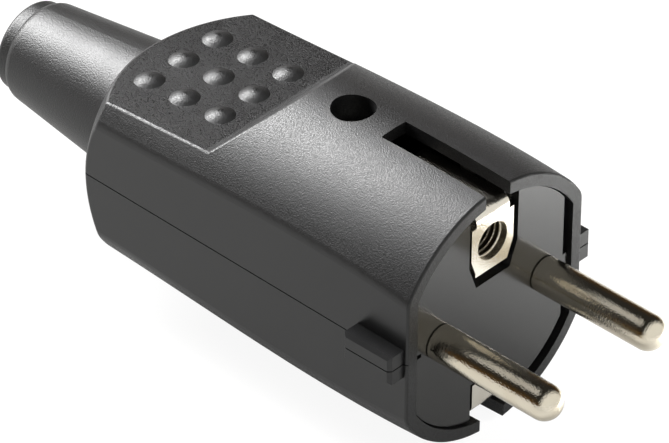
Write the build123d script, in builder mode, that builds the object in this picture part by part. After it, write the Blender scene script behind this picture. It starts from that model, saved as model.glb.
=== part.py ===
from build123d import *
import os
from math import atan2, cos, radians, sin, sqrt, tan

# Rewireable rubber plug with two round pins, a hole for a third earth pin and two side earth clips.
# Millimetres. +X is the way the pins point, +Z is up through the screw hole and the thumb grip.
# The origin is the middle of the rim plane that meets the socket, halfway between the pins.
# Sizes called "at" are distances behind that plane.

# Pins
pin_diameter = 4.8
pin_pitch = 19.0
pin_reach = 19.0
pin_neck_diameter = 4.4
pin_neck_gap = 0.15
pin_collar_diameter = 6.4
pin_collar_length = 2.0
pin_collar_at = 2.2
terminal_diameter = 7.0
terminal_length = 11.0
terminal_seat_depth = 2.75

# Housing
body_length = 61.1
front_radius = 18.3
barrel_radius = 18.6
barrel_at = 18.0
waist_radius = 18.0
waist_at = 36.0
rear_radius = 17.3
dome_radius = 24.0
flank_front = 15.93
flank_rear = 14.9
wall = 1.8
flank_edge_radius = 2.4
edge_radius = 0.5
rim_edge_radius = 0.35
seam_width = 0.16
seam_depth = 0.3

# Thumb grip
grip_at = 36.2
grip_height = 12.3
grip_slope = 0.064
grip_ramp_angle = 45.0
nub_radius = 2.0
nub_height = 0.75
nub_pitch = 6.15
nub_count = 3
nub_centre_at = 46.9
nub_root_depth = 0.6

# Guide ribs on the flanks
rib_length = 7.8
rib_at = 0.6
rib_height = 2.5
rib_width = 4.2
rib_chamfer = 0.45

# Earth slots
slot_width = 4.4
slot_length = 17.3

# Contact carrier
face_recess = 0.5
carrier_gap = 0.2
carrier_depth = 14.0
carrier_block_width = 26.0
flange_depth = 4.0
groove_depth = 2.0
rear_flange_depth = 2.5
groove_step = 2.3
retainer_gap = 0.1
relief_width = 13.0
relief_gap = 0.85
relief_end_angle = -68.0
lug_height = 1.8
notch_depth = 1.1
notch_height = 0.6
pocket_depth = 1.2
pocket_side_gap = 0.6
pocket_foot_gap = 1.4
overcut = 1.0

# Earth strap and earth socket
strap_thickness = 1.0
strap_width = 6.0
strap_setback = 0.9
strap_bend_radius = 1.4
plate_width = 7.6
plate_foot_width = 5.5
plate_foot_height = 6.0
plate_flare_height = 8.7
plate_shoulder_height = 13.5
lower_leg_height = 10.8
earth_height = 10.1
earth_bore_diameter = 5.3
sleeve_wall = 0.6
sleeve_length = 12.5
sleeve_slit_width = 0.8
sleeve_slit_setback = 4.2
earth_screw_length = 4.7

# Fasteners
fit_gap = 0.05
terminal_screw_diameter = 3.5
terminal_screw_head_diameter = 5.4
terminal_screw_head_height = 2.2
terminal_screw_tip_height = 0.8
screw_head_chamfer = 0.35
screw_tip_chamfer = 0.35
screw_slot_width = 1.1
screw_slot_depth = 1.1
pressure_plate_thickness = 0.8
wire_bore_diameter = 3.2
washer_size = 6.4
washer_thickness = 0.8
housing_screw_diameter = 4.0
housing_screw_head_diameter = 5.5
housing_screw_head_height = 2.2
housing_screw_at = 24.0
housing_screw_head_depth = 3.4
housing_screw_hole_diameter = 5.8
housing_boss_diameter = 8.6
nut_boss_diameter = 10.4
nut_across_flats = 7.0
nut_thickness = 3.2
nut_seat_height = 11.0
nut_gap = 0.1

# Cable clamp
clamp_at = 44.0
clamp_pitch = 17.2
clamp_boss_diameter = 8.2
clamp_boss_top = 1.6
clamp_bar_width = 7.0
clamp_bar_thickness = 3.0
clamp_bar_overhang = 3.2
clamp_bar_corner_radius = 2.3
clamp_bar_bite = 1.8
clamp_nut_size = 5.5
clamp_nut_thickness = 2.0
clamp_nut_depth = 3.4
clamp_screw_length = 10.0
cradle_thickness = 4.0
cable_diameter = 9.0

# Kink sleeve
sleeve_neck_radius = 8.3
sleeve_root_radius = 9.05
sleeve_tip_radius = 7.0
sleeve_root_setback = 1.3
sleeve_cone_length = 17.8
sleeve_ring_length = 3.2
sleeve_ring_radius = 6.25
sleeve_shoulder_length = 1.2
sleeve_edge_radius = 0.8
sleeve_flange_radius = 11.0
sleeve_flange_flat = 9.0
sleeve_flange_thickness = 2.5
sleeve_flange_gap = 0.2
sleeve_hole_gap = 0.1

# Positions that follow from the sizes above
pin_radius = pin_diameter / 2
dome_centre_at = body_length - dome_radius
shoulder_x = -dome_centre_at - sqrt(dome_radius**2 - rear_radius**2)
face_x = -face_recess
carrier_rear_x = face_x - carrier_depth
groove_front_x = face_x - flange_depth
groove_rear_x = groove_front_x - groove_depth
rear_flange_x = groove_rear_x - rear_flange_depth
plate_back_x = face_x - pocket_depth
plate_front_x = plate_back_x + strap_thickness
bridge_x = carrier_rear_x - strap_thickness
carrier_radius = min(front_radius, barrel_radius) - wall - carrier_gap
strap_height = carrier_radius - strap_setback
strap_inner_height = strap_height - strap_thickness
inner_bend = strap_bend_radius - strap_thickness
carrier_flank = flank_front - wall - carrier_gap
terminal_front_x = carrier_rear_x + terminal_seat_depth
terminal_rear_x = terminal_front_x - terminal_length
terminal_screw_x = (carrier_rear_x + terminal_rear_x) / 2
sleeve_outer_radius = earth_bore_diameter / 2 + sleeve_wall
sleeve_root_x = sleeve_root_setback - body_length
sleeve_tip_x = sleeve_root_x - sleeve_cone_length
sleeve_end_x = sleeve_tip_x - sleeve_ring_length
clamp_bar_bottom = clamp_boss_top
clamp_bar_top = clamp_bar_bottom + clamp_bar_thickness
pin_places = (("left", -pin_pitch / 2), ("right", pin_pitch / 2))
clamp_places = (("left", -clamp_pitch / 2), ("right", clamp_pitch / 2))


def grip_floor(at, inset=0.0):
    """Height of the grip's floor at a distance behind the rim, less an inset."""
    return grip_height - inset - grip_slope * (at - grip_at)


def housing_form(inset):
    """Barrel with two flat flanks, a domed rear and a grip cut above and below, drawn inset from its skin."""
    dome = dome_radius - inset
    shoulder = rear_radius - inset
    shoulder_angle = atan2(shoulder, sqrt(dome**2 - shoulder**2))
    shoulder_x = -dome_centre_at - dome * cos(shoulder_angle)
    arc_middle = (-dome_centre_at - dome * cos(shoulder_angle / 2), dome * sin(shoulder_angle / 2))
    with BuildPart() as form:
        with BuildSketch(Plane.XZ):
            with BuildLine():
                Line((0, 0), (0, front_radius - inset))
                Spline(
                    (0, front_radius - inset),
                    (-barrel_at, barrel_radius - inset),
                    (-waist_at, waist_radius - inset),
                    (shoulder_x, shoulder),
                )
                ThreePointArc((shoulder_x, shoulder), arc_middle, (-dome_centre_at - dome, 0))
                Line((-dome_centre_at - dome, 0), (0, 0))
            make_face()
        revolve(axis=Axis.X)
        with BuildSketch(Plane.XY):
            with BuildLine():
                Polyline(
                    (0, flank_front - inset),
                    (-body_length, flank_rear - inset),
                    (-body_length, -flank_rear + inset),
                    (0, -flank_front + inset),
                    close=True,
                )
            make_face()
        extrude(amount=barrel_radius * 2, both=True, mode=Mode.INTERSECT)
        ramp = radians(grip_ramp_angle)
        foot_x = -grip_at + inset * tan(ramp / 2)
        foot_z = grip_floor(-foot_x, inset)
        ramp_rise = barrel_radius
        rear_x = -body_length - overcut
        with BuildSketch(Plane.XZ):
            for side in (1, -1):
                with BuildLine():
                    Polyline(
                        (foot_x, side * foot_z),
                        (foot_x + ramp_rise / tan(ramp), side * (foot_z + ramp_rise)),
                        (rear_x, side * (foot_z + ramp_rise)),
                        (rear_x, side * grip_floor(-rear_x, inset)),
                        close=True,
                    )
                make_face()
        extrude(amount=barrel_radius * 2, both=True, mode=Mode.SUBTRACT)
    return form.part


def pin_form(gap):
    """Pin with its embedded neck, collar and terminal head along the X axis, grown by a gap on every side."""
    collar_front = face_x - pin_collar_at
    collar_rear = collar_front - pin_collar_length
    with BuildPart() as form:
        with BuildSketch(Plane.XZ):
            with BuildLine():
                tip_centre = pin_reach - pin_radius
                radius = pin_radius + gap
                neck_radius = pin_neck_diameter / 2 + gap
                neck_front = face_x + pin_neck_gap - gap
                outline = Polyline(
                    (tip_centre, radius),
                    (neck_front, radius),
                    (neck_front, neck_radius),
                    (collar_front + gap, neck_radius),
                    (collar_front + gap, pin_collar_diameter / 2 + gap),
                    (collar_rear - gap, pin_collar_diameter / 2 + gap),
                    (collar_rear - gap, neck_radius),
                    (terminal_front_x, neck_radius),
                    (terminal_front_x, terminal_diameter / 2 + gap),
                    (terminal_rear_x, terminal_diameter / 2 + gap),
                    (terminal_rear_x, 0),
                    (tip_centre + radius, 0),
                )
                diagonal = radius * cos(radians(45))
                ThreePointArc(outline @ 1, (tip_centre + diagonal, diagonal), outline @ 0)
            make_face()
        revolve(axis=Axis.X)
    return form.part


def cheese_head_screw(shank_diameter, shank_length, head_diameter, head_height):
    """Screw standing on the XY plane: its head above the plane and its shank below."""
    with BuildPart() as screw:
        with BuildSketch():
            Circle(head_diameter / 2)
        extrude(amount=head_height)
        top_edge = screw.edges().sort_by(Axis.Z)[-1]
        chamfer(top_edge, screw_head_chamfer)
        with BuildSketch():
            Circle(shank_diameter / 2)
        extrude(amount=-shank_length)
        tip_edge = screw.edges().sort_by(Axis.Z)[0]
        chamfer(tip_edge, screw_tip_chamfer)
        with BuildSketch(Plane.XY.offset(head_height)):
            Rectangle(head_diameter + overcut, screw_slot_width)
        extrude(amount=-screw_slot_depth, mode=Mode.SUBTRACT)
    return screw.part


def carrier_outline(radius, left, right):
    """Round outline cut by an upright line on each side."""
    Circle(radius)
    with Locations(((right - left) / 2, 0)):
        Rectangle(right + left, radius * 2, mode=Mode.INTERSECT)


def bounds_grip_or_rear(edge):
    """Whether an edge outlines the domed rear or a grip, and isn't the foot of a ramp."""
    box = edge.bounding_box()
    rear = box.max.X < shoulder_x + edge_radius and (box.size.Y > wall or abs(box.center().Y) > wall)
    grip = shoulder_x - edge_radius < box.min.X and box.max.X < -barrel_at and box.size.X > wall
    return rear or grip


# Outer skin of the housing with its softened edges
outer_skin = housing_form(0)
with BuildPart() as skin:
    add(outer_skin)
    flank_edges = [
        edge
        for edge in skin.edges()
        if edge.bounding_box().size.X > body_length / 2 and abs(edge.center().Y) > flank_rear - 1
    ]
    fillet(flank_edges, flank_edge_radius)
    fillet([edge for edge in skin.edges() if bounds_grip_or_rear(edge)], edge_radius)
    fillet(skin.faces().sort_by(Axis.X)[-1].edges(), rim_edge_radius)

# Guide rib in two halves, one on each shell, on both flanks
with BuildPart() as guide_ribs:
    for side in (1, -1):
        with BuildSketch(Plane.XZ.offset(-side * (flank_front + rib_height))):
            with Locations((-rib_at - rib_length / 2, 0)):
                Rectangle(rib_length, rib_width)
        extrude(amount=side * (rib_height + wall))
    outer_faces = guide_ribs.faces().filter_by(Axis.Y).sort_by(Axis.Y)
    chamfer(outer_faces[0].edges() + outer_faces[-1].edges(), rib_chamfer)

# Groove that shows where the two shells meet
with BuildPart() as seam_groove:
    add(skin.part)
    add(guide_ribs.part)
    add(housing_form(seam_depth), mode=Mode.SUBTRACT)
    Box(body_length * 3, barrel_radius * 4, seam_width, mode=Mode.INTERSECT)

# Form that runs through the middle of the wall, to which inner features reach
mid_wall_form = housing_form(wall / 2)

# Ring that sits in the groove of the contact carrier
retainer_front_x = groove_front_x - retainer_gap
retainer_rear_x = groove_rear_x + retainer_gap
with BuildPart() as retainer:
    with BuildSketch(Plane.YZ.offset(retainer_front_x)):
        Circle(barrel_radius + front_radius)
        Circle(carrier_radius - groove_step + retainer_gap, mode=Mode.SUBTRACT)
    extrude(amount=retainer_rear_x - retainer_front_x)
    with BuildSketch(Plane.XY):
        with Locations(((retainer_front_x + retainer_rear_x) / 2, 0)):
            Rectangle(groove_depth * 2, strap_width + 4 * retainer_gap + carrier_gap)
    extrude(amount=barrel_radius, both=True, mode=Mode.SUBTRACT)
    add(mid_wall_form, mode=Mode.INTERSECT)

# Whole housing before it is parted
with BuildPart() as housing:
    add(skin.part)
    add(housing_form(wall), mode=Mode.SUBTRACT)
    add(guide_ribs.part)
    add(housing_form(wall), mode=Mode.SUBTRACT)
    add(retainer.part)
    with BuildSketch(Plane.XY):
        with Locations((-slot_length / 2, 0)):
            Rectangle(slot_length, slot_width)
    extrude(amount=barrel_radius * 2, both=True, mode=Mode.SUBTRACT)
    with BuildSketch(Plane.YZ.offset(-body_length - overcut)):
        Circle(sleeve_neck_radius + sleeve_hole_gap)
    extrude(amount=body_length - dome_centre_at, mode=Mode.SUBTRACT)
    add(seam_groove.part, mode=Mode.SUBTRACT)

# Raised nubs on a grip floor
grip_plane = Plane(
    origin=(-nub_centre_at, 0, grip_floor(nub_centre_at)),
    x_dir=(1, 0, grip_slope),
    z_dir=(-grip_slope, 0, 1),
)
with BuildPart() as nub:
    with BuildSketch(Plane.XZ):
        with BuildLine():
            cap_radius = (nub_radius**2 + nub_height**2) / (2 * nub_height)
            cap_centre = nub_height - cap_radius
            cap_angle = atan2(nub_radius, -cap_centre) / 2
            cap_middle = (cap_radius * sin(cap_angle), cap_centre + cap_radius * cos(cap_angle))
            ThreePointArc((nub_radius, 0), cap_middle, (0, nub_height))
            Polyline((0, nub_height), (0, -nub_root_depth), (nub_radius, -nub_root_depth), (nub_radius, 0))
        make_face()
    revolve(axis=Axis.Z)
with BuildPart() as nubs:
    with Locations(grip_plane):
        with GridLocations(nub_pitch, nub_pitch, nub_count, nub_count):
            add(nub.part)

# Boss through which the housing screw passes
housing_axis = (-housing_screw_at, 0)
with BuildPart() as screw_boss:
    with BuildSketch(Plane.XY):
        with Locations(housing_axis):
            Circle(housing_boss_diameter / 2)
    extrude(amount=barrel_radius * 2)
    add(mid_wall_form, mode=Mode.INTERSECT)

# Wider boss for the nut below
with BuildPart() as nut_boss:
    with BuildSketch(Plane.XY):
        with Locations(housing_axis):
            Circle(nut_boss_diameter / 2)
    extrude(amount=-barrel_radius * 2)
    add(mid_wall_form, mode=Mode.INTERSECT)

screw_seat_height = barrel_radius - housing_screw_head_depth - housing_screw_head_height

# Upper shell: grip nubs, counterbored boss for the housing screw
with BuildPart() as upper_shell:
    add(housing.part)
    split(bisect_by=Plane.XY, keep=Keep.TOP)
    add(nubs.part)
    add(screw_boss.part)
    with BuildSketch(Plane.XY):
        with Locations(housing_axis):
            Circle(housing_screw_diameter / 2 + nut_gap)
    extrude(amount=barrel_radius, mode=Mode.SUBTRACT)
    with BuildSketch(Plane.XY.offset(screw_seat_height)):
        with Locations(housing_axis):
            Circle(housing_screw_hole_diameter / 2)
    extrude(amount=barrel_radius, mode=Mode.SUBTRACT)
upper_shell.part.label = "upper_shell"

# Lower shell: mirrored nubs, boss with a hexagon for the nut, clamp bosses and a cable cradle
floor_height = -grip_floor(clamp_at, wall / 2)
clamp_nut_top = clamp_boss_top - clamp_nut_depth
with BuildPart() as lower_shell:
    add(housing.part)
    split(bisect_by=Plane.XY, keep=Keep.BOTTOM)
    add(nubs.part.mirror(Plane.XY))
    add(nut_boss.part)
    with BuildSketch(Plane.XY):
        with Locations(housing_axis):
            Circle(housing_screw_diameter / 2 + nut_gap)
    extrude(amount=-barrel_radius, mode=Mode.SUBTRACT)
    with BuildSketch(Plane.XY.offset(-nut_seat_height)):
        with Locations(housing_axis):
            RegularPolygon(nut_across_flats / 2 + nut_gap, 6, major_radius=False)
    extrude(amount=-barrel_radius, mode=Mode.SUBTRACT)
    with BuildSketch(Plane.XY.offset(floor_height)):
        with Locations(*[(-clamp_at, y) for _, y in clamp_places]):
            Circle(clamp_boss_diameter / 2)
    extrude(amount=clamp_boss_top - floor_height)
    with BuildSketch(Plane.XY.offset(floor_height)):
        with Locations((-clamp_at, 0)):
            Rectangle(cradle_thickness, clamp_pitch)
    extrude(amount=-floor_height)
    with BuildSketch(Plane.YZ.offset(-clamp_at)):
        Circle(cable_diameter / 2)
    extrude(amount=clamp_boss_diameter, both=True, mode=Mode.SUBTRACT)
    with BuildSketch(Plane.XY.offset(clamp_boss_top)):
        with Locations(*[(-clamp_at, y) for _, y in clamp_places]):
            Circle(terminal_screw_diameter / 2 + fit_gap)
    extrude(amount=-clamp_screw_length, mode=Mode.SUBTRACT)
    nut_pocket = clamp_nut_size + 2 * nut_gap
    with BuildSketch(Plane.XY.offset(clamp_nut_top)):
        with Locations(*[(-clamp_at - (clamp_boss_diameter - nut_pocket) / 2, y) for _, y in clamp_places]):
            Rectangle(clamp_boss_diameter, nut_pocket)
    extrude(amount=-clamp_nut_thickness - nut_gap, mode=Mode.SUBTRACT)
lower_shell.part.label = "lower_shell"

# Contact carrier: grooved block that holds the pins, the earth socket and the earth strap
with BuildPart() as contact_carrier:
    with BuildSketch(Plane.YZ.offset(face_x)):
        carrier_outline(carrier_radius, carrier_flank, carrier_flank)
    extrude(amount=-flange_depth)
    with BuildSketch(Plane.YZ.offset(groove_front_x)):
        carrier_outline(carrier_radius - groove_step, carrier_flank, carrier_flank)
    extrude(amount=-groove_depth)
    with BuildSketch(Plane.YZ.offset(groove_rear_x)):
        carrier_outline(carrier_radius, carrier_flank, carrier_flank)
    extrude(amount=-rear_flange_depth)
    with BuildSketch(Plane.YZ.offset(rear_flange_x)):
        Rectangle(carrier_block_width, strap_inner_height * 2)
        Circle(carrier_radius - carrier_gap, mode=Mode.INTERSECT)
    extrude(amount=carrier_rear_x - rear_flange_x)
    # Right flank cut back, with a lug left at mid height
    with BuildSketch(Plane.YZ.offset(face_x)):
        with BuildLine():
            lower_radius = carrier_radius - relief_gap
            lower_z = -sqrt(lower_radius**2 - relief_width**2)
            end_angle = radians(relief_end_angle)
            middle_angle = (atan2(lower_z, relief_width) + end_angle) / 2
            lower_end = (lower_radius * cos(end_angle), lower_radius * sin(end_angle))
            lower_middle = (lower_radius * cos(middle_angle), lower_radius * sin(middle_angle))
            reach = carrier_radius + overcut
            upper_z = sqrt(carrier_radius**2 - relief_width**2)
            Line((reach, upper_z), (relief_width, upper_z))
            Line((relief_width, upper_z), (relief_width, lower_z))
            ThreePointArc((relief_width, lower_z), lower_middle, lower_end)
            Line(lower_end, (lower_end[0], -reach))
            Line((lower_end[0], -reach), (reach, -reach))
            Line((reach, -reach), (reach, upper_z))
        make_face()
        with Locations(((relief_width + carrier_flank) / 2, 0)):
            Rectangle(carrier_flank - relief_width, lug_height, mode=Mode.SUBTRACT)
    extrude(amount=-flange_depth, mode=Mode.SUBTRACT)
    # Register notch on the left flank
    with BuildSketch(Plane.YZ.offset(face_x)):
        with Locations((-carrier_flank, -notch_height / 2)):
            Rectangle(2 * notch_depth, notch_height)
    extrude(amount=-flange_depth, mode=Mode.SUBTRACT)
    # Pocket round the earth plate, open at the top
    with BuildSketch(Plane.YZ.offset(face_x)):
        pocket_foot = plate_foot_width / 2 + pocket_side_gap / 2
        pocket_side = plate_width / 2 + pocket_side_gap
        with BuildLine():
            Polyline(
                (-pocket_foot, plate_foot_height - pocket_foot_gap),
                (pocket_foot, plate_foot_height - pocket_foot_gap),
                (pocket_side, plate_flare_height - pocket_side_gap),
                (pocket_side, carrier_radius + overcut),
                (-pocket_side, carrier_radius + overcut),
                (-pocket_side, plate_flare_height - pocket_side_gap),
                close=True,
            )
        make_face()
        pocket_top = lower_leg_height - pocket_side_gap
        pocket_bottom = carrier_radius + overcut
        with Locations((0, -(pocket_top + pocket_bottom) / 2)):
            Rectangle(strap_width + 2 * pocket_side_gap, pocket_bottom - pocket_top)
    extrude(amount=-pocket_depth, mode=Mode.SUBTRACT)
    # Channels in which the strap runs back
    with BuildSketch(Plane.YZ.offset(face_x)):
        for side in (1, -1):
            with Locations((0, side * (strap_inner_height + strap_height) / 2)):
                channel_height = (carrier_radius - strap_inner_height) * 2
                Rectangle(strap_width + 2 * retainer_gap, channel_height)
        Rectangle(strap_width * 2, strap_inner_height * 2, mode=Mode.SUBTRACT)
    extrude(amount=-carrier_depth, mode=Mode.SUBTRACT)
    # Corners eased for the bends of the strap
    corner = 2 * inner_bend
    for end_x in (plate_back_x, carrier_rear_x):
        for side in (1, -1):
            with BuildSketch(Plane((end_x, 0, side * strap_inner_height), x_dir=(1, 0, 0), z_dir=(0, -1, 0))):
                Rectangle(corner, corner, rotation=45)
            extrude(amount=strap_width / 2 + retainer_gap, both=True, mode=Mode.SUBTRACT)
    # Bores for the pins, the earth socket and the earth terminal screw
    for _, y in pin_places:
        add(Pos(0, y, 0) * pin_form(fit_gap), mode=Mode.SUBTRACT)
    with BuildSketch(Plane.YZ.offset(plate_back_x)):
        with Locations((0, earth_height)):
            Circle(sleeve_outer_radius + fit_gap)
    extrude(amount=-sleeve_length, mode=Mode.SUBTRACT)
    with BuildSketch(Plane.YZ.offset(carrier_rear_x)):
        Circle(terminal_screw_diameter / 2 + nut_gap)
    extrude(amount=earth_screw_length, mode=Mode.SUBTRACT)
contact_carrier.part.label = "contact_carrier"

# Live and neutral pins, each turned with its terminal head: cross thread and wire bore
pins = {}
for side_name, y in pin_places:
    with BuildPart() as pin:
        add(Pos(0, y, 0) * pin_form(0))
        with BuildSketch(Plane.YZ.offset(terminal_rear_x)):
            with Locations((y, 0)):
                Circle(wire_bore_diameter / 2)
        extrude(amount=carrier_rear_x - terminal_rear_x, mode=Mode.SUBTRACT)
        with BuildSketch(Plane.XY):
            with Locations((terminal_screw_x, y)):
                Circle(terminal_screw_diameter / 2 + fit_gap)
        extrude(amount=terminal_diameter, mode=Mode.SUBTRACT)
    pin.part.label = "pin_" + side_name
    pins[side_name] = pin.part

# Earth strap: one stamped strip bent round the carrier, with the earth plate at its upper front end
with BuildPart() as earth_strap:
    with BuildSketch(Plane.XZ):
        with BuildLine():
            FilletPolyline(
                (plate_front_x, -lower_leg_height),
                (plate_front_x, -strap_height),
                (bridge_x, -strap_height),
                (bridge_x, strap_height),
                (plate_front_x, strap_height),
                (plate_front_x, plate_foot_height),
                radius=strap_bend_radius,
            )
            Line((plate_front_x, plate_foot_height), (plate_back_x, plate_foot_height))
            FilletPolyline(
                (plate_back_x, plate_foot_height),
                (plate_back_x, strap_inner_height),
                (carrier_rear_x, strap_inner_height),
                (carrier_rear_x, -strap_inner_height),
                (plate_back_x, -strap_inner_height),
                (plate_back_x, -lower_leg_height),
                radius=inner_bend,
            )
            Line((plate_back_x, -lower_leg_height), (plate_front_x, -lower_leg_height))
        make_face()
    extrude(amount=strap_width / 2, both=True)
    with BuildSketch(Plane.YZ.offset(plate_front_x)):
        with BuildLine():
            Polyline(
                (-plate_foot_width / 2, plate_foot_height),
                (plate_foot_width / 2, plate_foot_height),
                (plate_width / 2, plate_flare_height),
                (plate_width / 2, plate_shoulder_height),
                (-plate_width / 2, plate_shoulder_height),
                (-plate_width / 2, plate_flare_height),
                close=True,
            )
        make_face()
    extrude(amount=-strap_thickness)
    with BuildSketch(Plane.YZ.offset(plate_front_x)):
        with BuildLine():
            for side in (1, -1):
                Polyline(
                    (side * plate_foot_width / 2, plate_foot_height),
                    (side * plate_width / 2, plate_flare_height),
                    (side * plate_width, plate_flare_height),
                    (side * plate_width, plate_foot_height - overcut),
                    (side * plate_foot_width / 2, plate_foot_height - overcut),
                    close=True,
                )
        make_face()
        with Locations((0, earth_height)):
            Circle(earth_bore_diameter / 2)
    extrude(amount=-strap_thickness, mode=Mode.SUBTRACT)
    with BuildSketch(Plane.YZ.offset(bridge_x)):
        Circle(terminal_screw_diameter / 2 + fit_gap)
    extrude(amount=strap_thickness, mode=Mode.SUBTRACT)
earth_strap.part.label = "earth_strap"

# Earth socket: slit sleeve behind the plate that grips a third pin
with BuildPart() as earth_socket:
    with BuildSketch(Plane.YZ.offset(plate_back_x)):
        with Locations((0, earth_height)):
            Circle(sleeve_outer_radius)
            Circle(earth_bore_diameter / 2, mode=Mode.SUBTRACT)
    extrude(amount=-sleeve_length + fit_gap)
    with BuildSketch(Plane.YZ.offset(plate_back_x - sleeve_slit_setback)):
        with Locations((0, earth_height)):
            Rectangle(sleeve_slit_width, sleeve_outer_radius * 3)
    extrude(amount=-sleeve_length, mode=Mode.SUBTRACT)
earth_socket.part.label = "earth_socket"

# Terminal screws stand on small pressure plates, threaded into the terminal heads from above
terminal_seat = terminal_diameter / 2 + pressure_plate_thickness
terminal_screws = {}
terminal_plates = {}
for side_name, y in pin_places:
    with BuildPart() as terminal_plate:
        with BuildSketch(Plane.XY.offset(terminal_diameter / 2)):
            with Locations((terminal_screw_x, y)):
                Rectangle(terminal_screw_head_diameter, terminal_screw_head_diameter)
                Circle(terminal_screw_diameter / 2 + fit_gap, mode=Mode.SUBTRACT)
        extrude(amount=pressure_plate_thickness)
    terminal_plate.part.label = "terminal_plate_" + side_name
    terminal_plates[side_name] = terminal_plate.part
    with BuildPart() as terminal_screw:
        add(
            Pos(terminal_screw_x, y, terminal_seat)
            * cheese_head_screw(
                terminal_screw_diameter,
                terminal_seat - terminal_screw_tip_height,
                terminal_screw_head_diameter,
                terminal_screw_head_height,
            )
        )
    terminal_screw.part.label = "terminal_screw_" + side_name
    terminal_screws[side_name] = terminal_screw.part

# Earth terminal: square washer and screw on the strap's bridge
with BuildPart() as earth_washer:
    with BuildSketch(Plane.YZ.offset(bridge_x)):
        Rectangle(washer_size, washer_size)
        Circle(terminal_screw_diameter / 2 + fit_gap, mode=Mode.SUBTRACT)
    extrude(amount=-washer_thickness)
earth_washer.part.label = "earth_washer"

with BuildPart() as earth_screw:
    add(
        Pos(bridge_x - washer_thickness, 0, 0)
        * Rot(0, -90, 0)
        * cheese_head_screw(
            terminal_screw_diameter,
            earth_screw_length,
            terminal_screw_head_diameter,
            terminal_screw_head_height,
        )
    )
earth_screw.part.label = "earth_screw"

# Housing screw from above and its hexagon nut below
housing_screw_length = screw_seat_height + nut_seat_height + nut_thickness
with BuildPart() as housing_screw:
    add(
        Pos(-housing_screw_at, 0, screw_seat_height)
        * cheese_head_screw(
            housing_screw_diameter,
            housing_screw_length,
            housing_screw_head_diameter,
            housing_screw_head_height,
        )
    )
housing_screw.part.label = "housing_screw"

with BuildPart() as housing_nut:
    with BuildSketch(Plane.XY.offset(-nut_seat_height)):
        with Locations(housing_axis):
            RegularPolygon(nut_across_flats / 2, 6, major_radius=False)
            Circle(housing_screw_diameter / 2 + fit_gap, mode=Mode.SUBTRACT)
    extrude(amount=-nut_thickness)
housing_nut.part.label = "housing_nut"

# Cable clamp: an arched bar across the cable path, two screws and two square nuts
with BuildPart() as clamp_bar:
    with BuildSketch(Plane.XY.offset(clamp_bar_bottom)):
        with Locations((-clamp_at, 0)):
            RectangleRounded(clamp_bar_width, clamp_pitch + 2 * clamp_bar_overhang, clamp_bar_corner_radius)
    extrude(amount=clamp_bar_thickness)
    with BuildSketch(Plane.YZ.offset(-clamp_at)):
        Circle(cable_diameter / 2 - clamp_bar_bite)
    extrude(amount=clamp_bar_width, both=True, mode=Mode.SUBTRACT)
    with BuildSketch(Plane.XY.offset(clamp_bar_bottom)):
        with Locations(*[(-clamp_at, y) for _, y in clamp_places]):
            Circle(terminal_screw_diameter / 2 + fit_gap)
    extrude(amount=clamp_bar_thickness, mode=Mode.SUBTRACT)
clamp_bar.part.label = "clamp_bar"

clamp_screws = {}
clamp_nuts = {}
for side_name, y in clamp_places:
    with BuildPart() as clamp_screw:
        add(
            Pos(-clamp_at, y, clamp_bar_top)
            * cheese_head_screw(
                terminal_screw_diameter,
                clamp_screw_length,
                terminal_screw_head_diameter,
                terminal_screw_head_height,
            )
        )
    clamp_screw.part.label = "clamp_screw_" + side_name
    clamp_screws[side_name] = clamp_screw.part
    with BuildPart() as clamp_nut:
        with BuildSketch(Plane.XY.offset(clamp_nut_top)):
            with Locations((-clamp_at, y)):
                Rectangle(clamp_nut_size, clamp_nut_size)
                Circle(terminal_screw_diameter / 2 + fit_gap, mode=Mode.SUBTRACT)
        extrude(amount=-clamp_nut_thickness)
    clamp_nut.part.label = "clamp_nut_" + side_name
    clamp_nuts[side_name] = clamp_nut.part

# Kink sleeve: soft cone behind the housing, held by a flange inside its rear wall
inner_dome = dome_radius - wall
flange_rear_x = -dome_centre_at - sqrt(inner_dome**2 - sleeve_flange_radius**2) + sleeve_flange_gap
flange_front_x = flange_rear_x + sleeve_flange_thickness
with BuildPart() as kink_sleeve:
    with BuildSketch(Plane.XZ):
        with BuildLine():
            Polyline(
                (flange_front_x, 0),
                (flange_front_x, sleeve_flange_radius),
                (flange_rear_x, sleeve_flange_radius),
                (flange_rear_x, sleeve_neck_radius),
                (sleeve_root_x, sleeve_neck_radius),
                (sleeve_root_x, sleeve_root_radius),
                (sleeve_tip_x, sleeve_tip_radius),
            )
            ring_front_x = sleeve_tip_x - sleeve_shoulder_length
            TangentArc(
                (sleeve_tip_x, sleeve_tip_radius),
                (ring_front_x, sleeve_ring_radius),
                tangent=(-sleeve_cone_length, sleeve_tip_radius - sleeve_root_radius),
            )
            Polyline(
                (ring_front_x, sleeve_ring_radius),
                (sleeve_end_x, sleeve_ring_radius),
                (sleeve_end_x, 0),
                (flange_front_x, 0),
            )
        make_face()
    revolve(axis=Axis.X)
    with BuildSketch(Plane.YZ.offset(flange_front_x)):
        Rectangle(sleeve_flange_radius * 3, sleeve_flange_radius * 3)
        Rectangle(sleeve_flange_radius * 3, sleeve_flange_flat * 2, mode=Mode.SUBTRACT)
    extrude(amount=-sleeve_flange_thickness, mode=Mode.SUBTRACT)
    with BuildSketch(Plane.YZ.offset(flange_front_x)):
        Circle(cable_diameter / 2)
    extrude(amount=sleeve_end_x, mode=Mode.SUBTRACT)
    end_edge = kink_sleeve.edges().filter_by(GeomType.CIRCLE).group_by(Axis.X)[0].sort_by(SortBy.RADIUS)[-1]
    fillet(end_edge, sleeve_edge_radius)
kink_sleeve.part.label = "kink_sleeve"

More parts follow.
